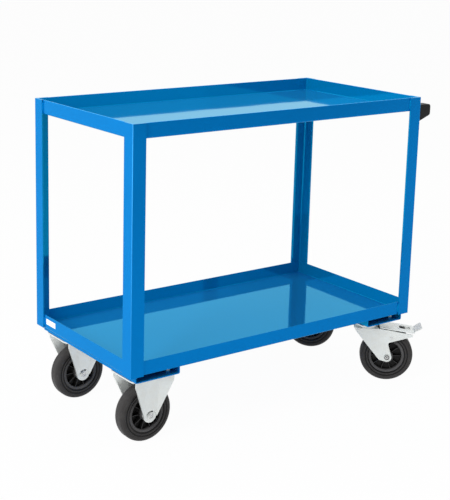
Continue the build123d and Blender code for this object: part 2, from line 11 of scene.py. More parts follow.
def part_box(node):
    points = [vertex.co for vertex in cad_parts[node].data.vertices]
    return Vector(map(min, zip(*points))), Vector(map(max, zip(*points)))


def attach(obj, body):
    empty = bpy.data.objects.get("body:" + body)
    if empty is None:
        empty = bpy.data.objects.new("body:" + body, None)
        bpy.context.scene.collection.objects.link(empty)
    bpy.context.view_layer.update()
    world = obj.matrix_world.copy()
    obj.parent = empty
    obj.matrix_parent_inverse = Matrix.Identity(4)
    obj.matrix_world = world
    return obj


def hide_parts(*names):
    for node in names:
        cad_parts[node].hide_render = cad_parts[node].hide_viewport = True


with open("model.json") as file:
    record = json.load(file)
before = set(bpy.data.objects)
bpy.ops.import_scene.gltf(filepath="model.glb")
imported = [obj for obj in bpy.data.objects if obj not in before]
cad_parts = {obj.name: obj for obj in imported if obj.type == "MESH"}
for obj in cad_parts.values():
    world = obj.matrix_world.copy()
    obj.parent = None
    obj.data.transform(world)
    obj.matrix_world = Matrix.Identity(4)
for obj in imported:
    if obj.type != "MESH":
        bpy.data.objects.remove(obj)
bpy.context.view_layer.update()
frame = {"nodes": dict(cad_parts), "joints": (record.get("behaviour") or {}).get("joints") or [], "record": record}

bl_info = {
    "name": "Table trolley",
    "version": (1, 0, 0),
    "blender": (4, 5, 0),
    "location": "3D View > Sidebar > Trolley",
    "description": "Finishes the trolley's frame, handle and castors and sets up the studio",
    "category": "Object",
}

FIXED = ("left_front", "left_rear")
SWIVEL = ("right_front", "right_rear")
CASTORS = FIXED + SWIVEL
POSTS = tuple(f"{castor}_post" for castor in CASTORS)
TRAYS = ("lower_tray", "upper_tray")
BEAMS = ("left_castor_beam", "right_castor_beam")

# Edges that bend by more than this are shaded sharp: the first for brackets with shallow folds,
# the second for everything else
FOLD_ANGLE = radians(12)
SMOOTH_ANGLE = radians(32)

# On copies of CAD nodes, triangles that bend by less than the first angle are joined,
# and edges that bend by more than the second are rounded
FLAT_ANGLE = radians(0.4)
SOFT_ANGLE = radians(40)

# How near two points have to be to merge, on turned shapes and on copies of CAD nodes
TURNED_MERGE = 1e-7
NODE_MERGE = 1e-6

# Segments of rounded edges and blocks, and of the roundings on turned shapes,
# where LARGE_ROUND is the smallest radius that takes the larger number
EDGE_SEGMENTS = 2
BLOCK_SEGMENTS = 3
ROUND_SEGMENTS = 4
LARGE_ROUND_SEGMENTS = 12
LARGE_ROUND = 0.003

# Steps round a castor bolt's shank and flange and round an axle
SHANK_STEPS = 24
FLANGE_STEPS = 32
AXLE_STEPS = 48

# A weld bead's rings and sides, and the width of its tips and of the necks between its ripples
WELD_RINGS = 13
WELD_SIDES = 10
WELD_TIP = 0.45
WELD_NECK = 0.82

# Name of the mesh attribute that marks grooves and recesses, where shade is painted
SUNK = "sunk"

WHITE = (1.0, 1.0, 1.0, 1.0)

# What the lamps aim at, and each lamp's place, side, power and whether it shows in gloss
LAMP_AIM = (0.0, 0.0, 0.45)
LAMPS = {
    "key_left": ((-5.2, -1.4, 3.2), 3.4, 370.0, False),
    "overhead": ((0.4, 0.4, 4.2), 3.4, 70.0, False),
    "front_fill": ((1.6, -4.2, 1.8), 3.0, 5.0, True),
}


# Sizes and colours that a user would change

def length(name, description, default):
    return FloatProperty(
        name=name, description=description, default=default, min=0.0, unit="LENGTH", precision=5)


def colour(name, description, default):
    return FloatVectorProperty(
        name=name, description=description, default=default, size=4, min=0.0, max=1.0, subtype="COLOR")


class TrolleySizes(PropertyGroup):
    """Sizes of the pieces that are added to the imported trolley."""

    steps: IntProperty(name="Turned steps", description="Segments round a turned shape", default=96, min=24)
    sheet_edge: length("Sheet edge", "Rounding of pressed sheet edges", 0.0006)
    moulded_edge: length("Moulded edge", "Rounding of moulded plastic edges", 0.0012)
    # Painted highlight: width of the pale line painted on a post's outer corner
    post_highlight: length("Post edge", "Width of the thin coat on a post's outer corner", 0.0014)
    # Painted highlight: height of the pale line painted along the upper rim
    rim_highlight: length("Rim edge", "Height of the thin coat along the upper rim", 0.0006)
    weld_length: length("Weld length", "Length of a weld bead between a rim and a post", 0.026)
    weld_size: length("Weld size", "Radius of a weld bead", 0.0026)
    label_length: length("Plate length", "Length of the blank plate", 0.052)
    label_height: length("Plate height", "Height of the blank plate", 0.016)
    label_thickness: length("Plate thickness", "Thickness of the blank plate", 0.0006)
    label_edge: length("Plate edge", "Rounding of the blank plate's edges", 0.00027)
    label_middle: length("Plate place", "Distance of the blank plate behind the middle of the trolley", 0.175)
    label_rise: length("Plate rise", "Height of the blank plate's middle above the tray's underside", 0.0225)
    grip_wall: length("Grip wall", "Wall thickness of the grip tube", 0.0025)
    grip_rings: IntProperty(
        name="Grip rings", description="Number of ring grooves at each end of the grip", default=4, min=0)
    grip_plain: length("Grip plain end", "Distance from a handle bracket to the first ring groove", 0.006)
    grip_ring: length("Grip ring", "Width of a ring groove in the grip", 0.0018)
    grip_ring_pitch: length("Grip ring pitch", "Distance between ring grooves in the grip", 0.005)
    grip_ring_depth: length("Grip ring depth", "Depth of a ring groove in the grip", 0.0008)
    screw_edge: length("Screw edge", "Rounding of the handle screws' edges", 0.0005)
    pad_edge: length("Pad edge", "Rounding of the brake pads' edges", 0.0008)
    castor_plate: length("Castor plate", "Thickness of a castor's top plate", 0.004)
    bolt_pitch_x: length("Bolt pitch along", "Distance between castor bolts along the trolley", 0.105)
    bolt_pitch_y: length("Bolt pitch across", "Distance between castor bolts across the trolley", 0.075)
    bolt_flats: length("Bolt flats", "Width across the flats of a castor bolt", 0.016)
    bolt_size: length("Bolt size", "Diameter of a castor bolt's thread", 0.010)
    bolt_end: length("Bolt end", "Rounding of a castor bolt's end", 0.0010)
    bolt_washer: length("Bolt washer", "Thickness of the flange under a castor bolt's head", 0.0012)
    bolt_washer_reach: length("Bolt washer reach", "Radius of the flange under a castor bolt's head", 0.00992)
    bolt_washer_edge: length("Bolt washer edge", "Rounding of the flange under a castor bolt's head", 0.0004)
    hex_edge: length("Hexagon edge", "Chamfer of a bolt head or nut", 0.0009)
    tyre_seat: length("Tyre seat", "Radius of the wheel centre under the tyre", 0.054)
    tyre_bead: length("Tyre bead", "Half the width of the tyre at its seat", 0.018)
    tyre_ridge: length("Tyre ridge", "Height of the moulded rings on the tyre's side", 0.0012)
    tyre_shoulder: length("Tyre shoulder", "Rounding between the tyre's side and its tread", 0.012)
    rim_ring: length("Rim ring", "Width of the wheel centre's outer ring", 0.008)
    web: length("Web", "Half the thickness of the wheel centre's web", 0.0035)
    hub: length("Hub", "Radius of the hub", 0.019)
    hub_bore: length("Hub bore", "Radius of the hub's bore", 0.01215)
    rib_count: IntProperty(
        name="Ribs", description="Number of ribs on each side of the web", default=10, min=3)
    rib: length("Rib", "Thickness of a rib at its top", 0.0020)
    rib_flare: FloatProperty(
        name="Rib flare", description="How much thicker a rib is at its foot", default=1.2, min=1.0)
    rib_recess: length("Rib recess", "How far the ribs lie behind the ring's face", 0.003)
    axle_size: length("Axle", "Diameter of an axle", 0.012)
    axle_head: length("Axle head", "Diameter of an axle's round head", 0.018)
    axle_head_height: length("Axle head height", "Thickness of an axle's round head", 0.0035)
    axle_groove_outer: length("Axle groove, outer", "Outer diameter of the groove in an axle's head", 0.0145)
    axle_groove_inner: length("Axle groove, inner", "Inner diameter of the groove in an axle's head", 0.010)
    axle_groove_depth: length("Axle groove depth", "Depth of the groove in an axle's head", 0.002)
    axle_dimple: length("Axle dimple", "Diameter of the dimple in the middle of an axle's head", 0.0045)
    axle_dimple_depth: length("Axle dimple depth", "Depth of the dimple in an axle's head", 0.0015)
    thread_pitch: length("Thread pitch", "Distance between the turns of an axle's thread", 0.00125)
    thread_depth: length("Thread depth", "Depth of an axle's thread", 0.0006)
    thread_length: length("Thread length", "Length of the thread at an axle's end", 0.0126)
    axle_flats: length("Axle nut flats", "Width across the flats of an axle nut", 0.018)


class TrolleyFinishes(PropertyGroup):
    """Colours of the finishes."""

    coat: colour("Powder coat", "Main colour of the frame", (0.0, 0.205, 0.61, 1.0))
    coat_deep: colour("Powder coat, deep", "Colour where the coat lies thicker", (0.0, 0.193, 0.575, 1.0))
    # Painted light: a lighter, greener colour on upward faces for the light and reflection they catch
    coat_top_light: colour("Powder coat, dusty", "Colour of upward faces", (0.012, 0.275, 0.62, 1.0))
    # Painted reflection: a greener tint on faces turned inwards, for the light the trays bounce onto them
    coat_inner_reflection: colour("Powder coat, inner", "Colour of faces turned inwards", (0.0, 0.262, 0.54, 1.0))
    # Painted highlight: the pale colour painted along sharp edges
    coat_edge_highlight: colour("Powder coat, edge", "Colour of the thin coat on sharp edges", (0.05, 0.42, 0.96, 1.0))
    zinc: colour("Zinc", "Plated pressed sheet", (0.80, 0.84, 0.83, 1.0))
    zinc_warm: colour("Zinc, warm", "Tint of the passivated patches", (0.78, 0.80, 0.77, 1.0))
    steel: colour("Fasteners", "Plated bolts, nuts and pins", (0.72, 0.73, 0.74, 1.0))
    rubber: colour("Tyre rubber", "Tyres", (0.036, 0.034, 0.034, 1.0))
    rubber_dust: colour("Tyre dust", "Worn and dusty rubber", (0.052, 0.050, 0.048, 1.0))
    wheel: colour("Wheel plastic", "Wheel centres", (0.070, 0.069, 0.070, 1.0))
    handle: colour("Handle plastic", "Brackets and grip", (0.004, 0.004, 0.004, 1.0))
    tread: colour("Tread plastic", "Treads at the pedals' tips", (0.52, 0.53, 0.52, 1.0))
    # Painted shade: the near-black colour laid into grooves and recesses
    recess_shade: colour("Grime", "Dirt in grooves and recesses", (0.008, 0.008, 0.008, 1.0))
    pad: colour("Pad rubber", "Brake pads", (0.02, 0.02, 0.02, 1.0))
    plate: colour("Blank plate", "Small plate on the lower tray", (0.85, 0.86, 0.87, 1.0))


class TrolleyStage(PropertyGroup):
    """Camera, light and floor."""

    camera_place: FloatVectorProperty(
        name="Camera place", description="Where the camera stands", subtype="XYZ", unit="LENGTH",
        default=(-2.0116, -2.6021, 1.3446))
    camera_turn: FloatVectorProperty(
        name="Camera turn", description="How the camera is turned", subtype="EULER", unit="ROTATION",
        default=(radians(77.773), radians(-1.078), radians(-35.176)))
    camera_lens: FloatProperty(name="Lens", description="Focal length in millimetres", default=83.58)
    camera_shift: FloatVectorProperty(
        name="Shift", description="Sideways and upward shift of the frame", size=2, default=(0.08, -0.14))
    ambient: FloatProperty(name="Ambient", description="Light from all round", default=0.33, min=0.0)
    dim_side: FloatProperty(
        name="Dim side", description="How bright the front of the studio shows in gloss",
        default=0.3, min=0.0)
    dim_direction: FloatVectorProperty(
        name="Dim direction", description="Where the dim front of the studio lies", subtype="DIRECTION",
        default=(-0.6116, -0.7911, 0.0))
    floor: colour("Floor", "Colour of the floor", (0.75, 0.75, 0.75, 1.0))
    floor_size: length("Floor size", "Half the side of the floor", 40.0)
    floor_glow: FloatProperty(
        name="Floor glow", description="How far the floor shows as plain white",
        default=0.97, min=0.0, max=1.0, subtype="FACTOR")


# Shader maths

def feed(tree, socket, value):
    if isinstance(value, Wire):
        tree.links.new(value.socket, socket)
    else:
        socket.default_value = value


def math_node(tree, operation, first, second=0.0):
    node = tree.nodes.new("ShaderNodeMath")
    node.operation = operation
    feed(tree, node.inputs[0], first)
    feed(tree, node.inputs[1], second)
    return Wire(tree, node.outputs[0])


class Wire:
    """A shader socket that arithmetic can be written on."""

    def __init__(self, tree, socket):
        self.tree = tree
        self.socket = socket

    def __add__(self, other):
        return math_node(self.tree, "ADD", self, other)

    __radd__ = __add__

    def __sub__(self, other):
        return math_node(self.tree, "SUBTRACT", self, other)

    def __rsub__(self, other):
        return math_node(self.tree, "SUBTRACT", other, self)

    def __mul__(self, other):
        return math_node(self.tree, "MULTIPLY", self, other)

    __rmul__ = __mul__

    def __gt__(self, other):
        return math_node(self.tree, "GREATER_THAN", self, other)

    def __lt__(self, other):
        return math_node(self.tree, "LESS_THAN", self, other)

    def __abs__(self):
        return math_node(self.tree, "ABSOLUTE", self)

    def either(self, other):
        return math_node(self.tree, "MAXIMUM", self, other)


class Nodes:
    """The node tree of a material or of the world."""

    def __init__(self, owner):
        owner.use_nodes = True
        self.tree = owner.node_tree

    def first(self, kind):
        return next(made for made in self.tree.nodes if made.type == kind)

    def node(self, kind, settings=None, sockets=None, output=0):
        made = self.tree.nodes.new(f"ShaderNode{kind}")
        for key, value in (settings or {}).items():
            setattr(made, key, value)
        for key, value in (sockets or {}).items():
            feed(self.tree, made.inputs[key], value)
        return Wire(self.tree, made.outputs[output])

    def rays(self):
        """Camera rays, and the rays that metal and gloss send out."""
        mirrored = self.node("LightPath", output="Is Glossy Ray")
        through = self.node("LightPath", output="Is Transmission Ray")
        return self.node("LightPath", output="Is Camera Ray"), mirrored.either(through)

    def from_behind(self, stage, place, near, far):
        """1 behind the trolley, falling to the dim side's brightness in front of it."""
        ahead = self.node(
            "VectorMath", {"operation": "DOT_PRODUCT"}, {0: place, 1: stage.dim_direction}, output="Value")
        return self.node(
            "MapRange", {"interpolation_type": "SMOOTHSTEP"},
            {"Value": ahead, "From Min": near, "From Max": far, "To Min": 1.0, "To Max": stage.dim_side})


class Finish(Nodes):
    """One material: a Principled shader and the nodes that feed it."""

    def __init__(self, name, constants):
        self.material = bpy.data.materials.new(name)
        super().__init__(self.material)
        self.shader = self.first("BSDF_PRINCIPLED")
        for socket, value in constants.items():
            self.shader.inputs[socket].default_value = value
        self.place = self.node("TexCoord", output="Object")

    def noise(self, scale, detail=2.0, roughness=0.5, stretch=None):
        place = self.place
        if stretch:
            place = self.node("Mapping", sockets={"Vector": place, "Scale": stretch})
        return self.node(
            "TexNoise", sockets={"Vector": place, "Scale": scale, "Detail": detail, "Roughness": roughness})

    def band(self, value, low, high, bottom=0.0, top=1.0):
        return self.node(
            "MapRange", {"clamp": True},
            {"Value": value, "From Min": low, "From Max": high, "To Min": bottom, "To Max": top})

    def mix(self, factor, first, second):
        return self.node("Mix", {"data_type": "RGBA"}, {0: factor, 6: first, 7: second}, output=2)

    def recess_shaded(self, clean, colours):
        """A colour that takes painted shade in grooves and recesses."""
        sunk = self.node("Attribute", {"attribute_name": SUNK}, output="Fac")
        return self.mix(sunk, clean, colours.recess_shade)

    def part_of(self, vector, axis):
        return self.node("SeparateXYZ", sockets={"Vector": vector}, output=axis)

    def set(self, socket, value):
        feed(self.tree, self.shader.inputs[socket], value)

    def raise_by(self, height):
        """Bump from a height in metres."""
        self.set("Normal", self.node("Bump", sockets={"Height": height, "Distance": 1.0, "Strength": 1.0}))


def frame_edge_highlights(finish):
    """1 along the top of the upper rim and high on the posts' outer corners, less further down: the mask of a
    painted highlight.
    """
    sizes = bpy.context.scene.trolley_sizes
    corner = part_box("right_rear_post")[1]
    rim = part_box("upper_tray")[1]
    along, across, height = (finish.part_of(finish.place, axis) for axis in "XYZ")
    outer = (abs(along) > corner.x - sizes.post_highlight) * (abs(across) > corner.y - sizes.post_highlight)
    within = (abs(along) < rim.x + sizes.rim_highlight) * (abs(across) < rim.y + sizes.rim_highlight)
    highlight_strength = finish.band(height, low=0.3 * corner.z, high=0.8 * corner.z, bottom=0.2, top=1.0)
    return (outer * highlight_strength).either(within * (height > rim.z - sizes.rim_highlight))


def powder_coat(name, colours):
    """Glossy blue powder coat with fine orange peel: painted reflection on inner faces, painted light on upward
    faces, painted highlights on edges.
    """
    edge_tint = (0.4, 1.0, 1.0, 1.0)
    finish = Finish(name, {"Metallic": 0.5, "Specular IOR Level": 0.08, "Specular Tint": edge_tint})
    cloud = finish.noise(scale=4.0, detail=3.0)
    grain = finish.noise(scale=1400.0, detail=2.0)
    facing = finish.node("TexCoord", output="Normal")
    upward = finish.part_of(facing, "Z")
    away = finish.node("Mapping", sockets={"Vector": finish.place, "Scale": (1.0, 1.0, 0.0)})
    outward = finish.node("VectorMath", {"operation": "DOT_PRODUCT"}, {0: facing, 1: away}, output="Value")
    paint = finish.mix(finish.band(cloud, low=0.3, high=0.7), colours.coat, colours.coat_deep)
    # Painted reflection: faces turned in towards the middle take the greener inner colour
    inward = finish.band(outward, low=-0.2, high=-0.1, bottom=1.0, top=0.0)
    paint = finish.mix(inward, paint, colours.coat_inner_reflection)
    # Painted light on upward faces
    paint = finish.mix(finish.band(upward, low=0.9, high=1.0), paint, colours.coat_top_light)
    # Painted highlight along the rim's top and the posts' outer corners
    finish.set("Base Color", finish.mix(frame_edge_highlights(finish), paint, colours.coat_edge_highlight))
    finish.set("Roughness", 0.035 + 0.04 * grain)
    peel = finish.noise(scale=420.0, detail=1.0)
    wave = finish.noise(scale=5.0, detail=1.0)
    finish.raise_by(wave * 0.0005 + peel * 0.000004)
    return finish.material


def zinc_sheet(name, colours):
    """Bright zinc on pressed sheet: faint rolling streaks and cloudy patches."""
    finish = Finish(name, {"Metallic": 0.65})
    cloud = finish.noise(scale=38.0, detail=4.0, roughness=0.6)
    streak = finish.noise(scale=60.0, detail=3.0, roughness=0.6, stretch=(1.0, 1.0, 14.0))
    grain = finish.noise(scale=1800.0, detail=2.0)
    plating = finish.mix(finish.band(cloud, low=0.35, high=0.7), colours.zinc, colours.zinc_warm)
    finish.set("Base Color", plating)
    finish.set("Roughness", 0.24 + 0.08 * streak + 0.08 * cloud)
    wave = finish.noise(scale=16.0, detail=1.0)
    finish.raise_by(wave * 0.0010 + streak * 0.00002 + grain * 0.0000012)
    return finish.material


def plated_fastener(name, colours):
    """Zinc on turned and forged fasteners."""
    finish = Finish(name, {"Metallic": 1.0})
    grain = finish.noise(scale=900.0, detail=3.0)
    cloud = finish.noise(scale=120.0, detail=2.0)
    plating = finish.mix(finish.band(cloud, low=0.4, high=0.7), colours.steel, colours.zinc_warm)
    finish.set("Base Color", finish.recess_shaded(plating, colours))
    finish.set("Roughness", 0.24 + 0.14 * grain)
    finish.raise_by(grain * 0.000004)
    return finish.material


def tyre_rubber(name, colours):
    """Solid black rubber with a dry, slightly dusty skin."""
    finish = Finish(name, {"Specular IOR Level": 0.2})
    dust = finish.noise(scale=55.0, detail=4.0, roughness=0.65)
    grain = finish.noise(scale=1500.0, detail=3.0)
    skin = finish.mix(finish.band(dust, low=0.45, high=0.8), colours.rubber, colours.rubber_dust)
    finish.set("Base Color", finish.recess_shaded(skin, colours))
    finish.set("Roughness", 0.36 + 0.12 * dust + 0.06 * grain)
    finish.raise_by(grain * 0.00001 + dust * 0.00003)
    return finish.material


def moulded_plastic(name, colours, tone, roughness):
    """Moulded plastic with a fine spark-eroded grain and painted shade in its recesses."""
    finish = Finish(name, {"Specular IOR Level": 0.2})
    cloud = finish.noise(scale=30.0, detail=2.0)
    grain = finish.noise(scale=1100.0, detail=2.0)
    lighter = tuple(min(1.0, 1.25 * part + 0.004) for part in tone[:3]) + (1.0,)
    skin = finish.mix(finish.band(cloud, low=0.35, high=0.75), tuple(tone), lighter)
    finish.set("Base Color", finish.recess_shaded(skin, colours))
    finish.set("Roughness", roughness + 0.10 * grain + 0.05 * cloud)
    finish.raise_by(grain * 0.000012)
    return finish.material


made_finishes = {}


def material(name):
    """The named finish, made on first use."""
    colours = bpy.context.scene.trolley_finishes
    makers = {
        "glossy_powder_coat": lambda: powder_coat(name, colours),
        "bright_zinc_sheet": lambda: zinc_sheet(name, colours),
        "bright_zinc_fastener": lambda: plated_fastener(name, colours),
        "tyre_rubber": lambda: tyre_rubber(name, colours),
        "wheel_moulding": lambda: moulded_plastic(name, colours, colours.wheel, roughness=0.34),
        "handle_moulding": lambda: moulded_plastic(name, colours, colours.handle, roughness=0.36),
        "tread_moulding": lambda: moulded_plastic(name, colours, colours.tread, roughness=0.48),
        "pad_moulding": lambda: moulded_plastic(name, colours, colours.pad, roughness=0.6),
        "blank_plate_white": lambda: moulded_plastic(name, colours, colours.plate, roughness=0.3),
    }
    if name not in made_finishes:
        made_finishes[name] = makers[name]()
    return made_finishes[name]


# Pieces

def coat_nodes(names, finish):
    """Gives CAD nodes a finish."""
    for name in names:
        slots = frame["nodes"][name].data.materials
        slots.clear()
        slots.append(material(finish))


def finished_piece(name, bm, body, finish, replaced=(), smooth=SMOOTH_ANGLE):
    """Turns a finished bmesh into a piece that rides on a body."""
    mesh = bpy.data.meshes.new(name)
    bm.to_mesh(mesh)
    bm.free()
    mesh.shade_smooth()
    mesh.set_sharp_from_angle(angle=smooth)
    mesh.materials.append(material(finish))
    piece = bpy.data.objects.new(name, mesh)
    bpy.context.scene.collection.objects.link(piece)
    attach(piece, body)
    if replaced:
        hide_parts(*replaced)
    return piece


def join(bm, part, place=Matrix.Identity(4)):
    """Moves a finished shape into place and adds it to a piece."""
    bmesh.ops.transform(part, matrix=place, verts=part.verts)
    mesh = bpy.data.meshes.new("shape")
    part.to_mesh(mesh)
    part.free()
    bm.from_mesh(mesh)
    bpy.data.meshes.remove(mesh)


def turned(profile, steps):
    """Turns a closed profile of (along, radius, rounding) round the Y axis."""
    part = bmesh.new()
    corners = [part.verts.new((0.0, along, radius)) for along, radius, _ in profile]
    for first, second in zip(corners, corners[1:] + corners[:1]):
        part.edges.new((first, second))
    for size in sorted({rounding for *_, rounding in profile if rounding}):
        chosen = [corner for corner, point in zip(corners, profile) if point[2] == size]
        bmesh.ops.bevel(
            part, geom=chosen, offset=size, offset_type="OFFSET",
            segments=ROUND_SEGMENTS if size < LARGE_ROUND else LARGE_ROUND_SEGMENTS,
            profile=0.5, affect="VERTICES", material=-1)
    bmesh.ops.spin(
        part, geom=part.verts[:] + part.edges[:], cent=(0, 0, 0), axis=(0, 1, 0),
        angle=2 * pi, steps=steps, use_merge=True)
    bmesh.ops.remove_doubles(part, verts=part.verts, dist=TURNED_MERGE)
    bmesh.ops.recalc_face_normals(part, faces=part.faces)
    return part


def along_to_z(matrix):
    """Stands a shape turned round Y upright on Z."""
    return matrix @ Matrix.Rotation(pi / 2, 4, "X")


def mark_sunk(part, is_sunk):
    """Marks the points of a shape that lie in a groove or recess, where shade is painted into its finish."""
    layer = part.verts.layers.float.new(SUNK)
    for point in part.verts:
        point[layer] = is_sunk(abs(point.co.y), hypot(point.co.x, point.co.z))
    return part


def both_sides(half):
    """A profile from its half at positive places along the axis, listed outwards from the bore."""
    return half + [(-along, radius, rounding) for along, radius, rounding in reversed(half)]


def hexagon(flats, height, edge):
    """A bolt head or nut standing on the XY plane, chamfered at the top."""
    part = bmesh.new()
    radius = flats / 2 / cos(pi / 6)
    bmesh.ops.create_cone(part, cap_ends=True, segments=6, radius1=radius, radius2=radius, depth=height)
    bmesh.ops.translate(part, vec=(0, 0, height / 2), verts=part.verts)
    top = [e for e in part.edges if min(v.co.z for v in e.verts) > height / 2]
    bmesh.ops.bevel(
        part, geom=top, offset=edge, offset_type="OFFSET", segments=EDGE_SEGMENTS,
        profile=0.5, affect="EDGES", material=-1)
    return part


def rounded_block(size, edge):
    """A block round the origin with rounded edges."""
    part = bmesh.new()
    bmesh.ops.create_cube(part, size=1.0)
    bmesh.ops.scale(part, vec=size, verts=part.verts)
    bmesh.ops.bevel(
        part, geom=part.edges[:], offset=edge, offset_type="OFFSET", segments=BLOCK_SEGMENTS,
        profile=0.5, affect="EDGES", material=-1)
    return part


def softened(node, name, edge, finish, smooth=SMOOTH_ANGLE):
    """A copy of a CAD node with its loose triangles joined and its sharp edges rounded."""
    bm = bmesh.new()
    bm.from_mesh(frame["nodes"][node].data)
    bmesh.ops.remove_doubles(bm, verts=bm.verts, dist=NODE_MERGE)
    bmesh.ops.dissolve_limit(bm, angle_limit=FLAT_ANGLE, verts=bm.verts, edges=bm.edges)
    bodies = frame["record"]["behaviour"]["bodies"]
    body = next(body for body, nodes in bodies.items() if node in nodes)
    piece = finished_piece(name, bm, body, finish, [node], smooth)
    rounding = piece.modifiers.new("edges", "BEVEL")
    rounding.width = edge
    rounding.segments = EDGE_SEGMENTS
    rounding.limit_method = "ANGLE"
    rounding.angle_limit = SOFT_ANGLE
    rounding.harden_normals = True
    return piece


def joint(name):
    return next(entry for entry in frame["joints"] if entry["name"] == name)


def wheel_place(castor):
    """Matrix from a wheel's own axes, Y along the axle and Z up, to its place."""
    spin = joint(f"{castor}_wheel_spin")
    across = Vector(spin["axis"]).normalized()
    up = Vector((0, 0, 1))
    turn = Matrix((across.cross(up), across, up)).transposed()
    return Matrix.Translation(spin["pos_m"]) @ turn.to_4x4()


class PieceOperator(Operator):
    """Common settings of the operators."""

    bl_options = {"REGISTER", "UNDO"}

    @property
    def sizes(self):
        return bpy.context.scene.trolley_sizes


class TROLLEY_OT_frame(PieceOperator):
    """Powder coat on the posts, trays and channel beams"""

    bl_idname = "trolley.frame"
    bl_label = "Frame"

    def execute(self, context):
        coat_nodes(POSTS + TRAYS + BEAMS, "glossy_powder_coat")
        return {"FINISHED"}


class TROLLEY_OT_welds(PieceOperator):
    """Short weld beads where the tray rims meet the posts"""

    bl_idname = "trolley.welds"
    bl_label = "Weld beads"

    def bead(self):
        part = bmesh.new()
        size = self.sizes.weld_size
        run = self.sizes.weld_length
        last = WELD_RINGS - 1
        bmesh.ops.create_cone(
            part, cap_ends=True, segments=WELD_SIDES, radius1=size, radius2=size, depth=run)
        long_edges = [e for e in part.edges if abs(e.verts[0].co.z - e.verts[1].co.z) > run / 2]
        bmesh.ops.subdivide_edges(part, edges=long_edges, cuts=WELD_RINGS - 2, use_grid_fill=True)
        for ring in range(WELD_RINGS):
            height = run * (ring / last - 0.5)
            level = [v for v in part.verts if abs(v.co.z - height) < run / WELD_RINGS / 4]
            narrow = WELD_TIP if ring in (0, last) else (WELD_NECK, 1.0)[ring % 2]
            bmesh.ops.scale(part, vec=(narrow, narrow, 1.0), verts=level)
        return part

    def execute(self, context):
        bm = bmesh.new()
        for tray in TRAYS:
            low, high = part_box(tray)
            middle = (low.z + high.z) / 2
            for post in POSTS:
                inner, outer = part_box(post)
                end = 1 if inner.x > 0 else -1
                side = 1 if inner.y > 0 else -1
                flange_x = inner.x if end > 0 else outer.x
                flange_y = inner.y if side > 0 else outer.y
                rim_x = end * high.x
                rim_y = side * high.y
                join(bm, self.bead(), Matrix.Translation((flange_x, rim_y, middle)))
                join(bm, self.bead(), Matrix.Translation((rim_x, flange_y, middle)))
        finished_piece("weld_beads", bm, "frame", "glossy_powder_coat")
        return {"FINISHED"}


class TROLLEY_OT_plate(PieceOperator):
    """Small blank plate on the left end of the lower tray"""

    bl_idname = "trolley.plate"
    bl_label = "Blank plate"

    def execute(self, context):
        sizes = self.sizes
        low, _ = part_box("lower_tray")
        size = (2 * sizes.label_thickness, sizes.label_length, sizes.label_height)
        part = rounded_block(size, sizes.label_edge)
        bm = bmesh.new()
        join(bm, part, Matrix.Translation((low.x, sizes.label_middle, low.z + sizes.label_rise)))
        finished_piece("blank_plate", bm, "frame", "blank_plate_white")
        return {"FINISHED"}


class TROLLEY_OT_castor_fasteners(PieceOperator):
    """Flanged bolts under the castor plates and nuts inside the beams"""

    bl_idname = "trolley.castor_fasteners"
    bl_label = "Castor fasteners"

    def places(self):
        low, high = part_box("castor_bolts")
        reach_x = (high.x - low.x) / 2 - self.sizes.bolt_flats / 2 / cos(pi / 6)
        reach_y = (high.y - low.y) / 2 - self.sizes.bolt_flats / 2
        for x in (reach_x, reach_x - self.sizes.bolt_pitch_x):
            for y in (reach_y, reach_y - self.sizes.bolt_pitch_y):
                for end in (-1, 1):
                    for side in (-1, 1):
                        yield end * x, side * y

    def execute(self, context):
        sizes = self.sizes
        low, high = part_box("castor_bolts")
        nut_low, nut_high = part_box("castor_nuts")
        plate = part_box("right_front_top_plate")[1].z - sizes.castor_plate
        washer, reach, soft = sizes.bolt_washer, sizes.bolt_washer_reach, sizes.bolt_washer_edge
        radius, run = sizes.bolt_size / 2, high.z - plate
        head = plate - low.z - washer
        nut = nut_high.z - nut_low.z
        flange = [(0.0, 0.0, 0), (0.0, reach, soft), (washer, reach, soft), (washer, 0.0, 0)]
        shank = [(0.0, 0.0, 0), (0.0, radius, 0), (run, radius, sizes.bolt_end), (run, 0.0, 0)]
        bolts = bmesh.new()
        nuts = bmesh.new()
        for x, y in self.places():
            under = Matrix.Translation((x, y, plate - washer))
            join(bolts, hexagon(sizes.bolt_flats, head, sizes.hex_edge), under @ Matrix.Rotation(pi, 4, "X"))
            join(bolts, turned(flange, FLANGE_STEPS), along_to_z(under))
            join(bolts, turned(shank, SHANK_STEPS), along_to_z(Matrix.Translation((x, y, plate))))
            join(nuts, hexagon(sizes.bolt_flats, nut, sizes.hex_edge), Matrix.Translation((x, y, nut_low.z)))
        for kind, bm in (("bolt", bolts), ("nut", nuts)):
            finished_piece(
                f"castor_{kind}_set", bm, "frame", "bright_zinc_fastener",
                [f"castor_{kind}s"])
        return {"FINISHED"}


class TROLLEY_OT_handle(PieceOperator):
    """Black brackets, grip tube and screws at the right-hand end"""

    bl_idname = "trolley.handle"
    bl_label = "Push handle"

    def grip(self, half, radius):
        sizes = self.sizes
        soft = sizes.grip_ring_depth / 2
        outline = [(half, radius - sizes.grip_wall, soft), (half, radius, soft)]
        bracket = -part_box("front_handle_bracket")[1].y
        for count in range(sizes.grip_rings):
            start = bracket - sizes.grip_plain - count * sizes.grip_ring_pitch
            end = start - sizes.grip_ring
            floor = radius - sizes.grip_ring_depth
            outline += [(start, radius, soft), (start, floor, soft), (end, floor, soft), (end, radius, soft)]
        return turned(both_sides(outline), sizes.steps)

    def execute(self, context):
        for side in ("front", "rear"):
            softened(
                f"{side}_handle_bracket", f"{side}_handle_moulding", self.sizes.moulded_edge,
                "handle_moulding")
        low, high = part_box("handle_grip")
        grip = bmesh.new()
        tube = self.grip((high.y - low.y) / 2, (high.z - low.z) / 2)
        join(grip, tube, Matrix.Translation((low + high) / 2))
        finished_piece(
            "ringed_grip", grip, "frame", "handle_moulding", ["handle_grip"])
        softened(
            "handle_screws", "handle_screw_set", self.sizes.screw_edge,
            "bright_zinc_fastener")
        return {"FINISHED"}


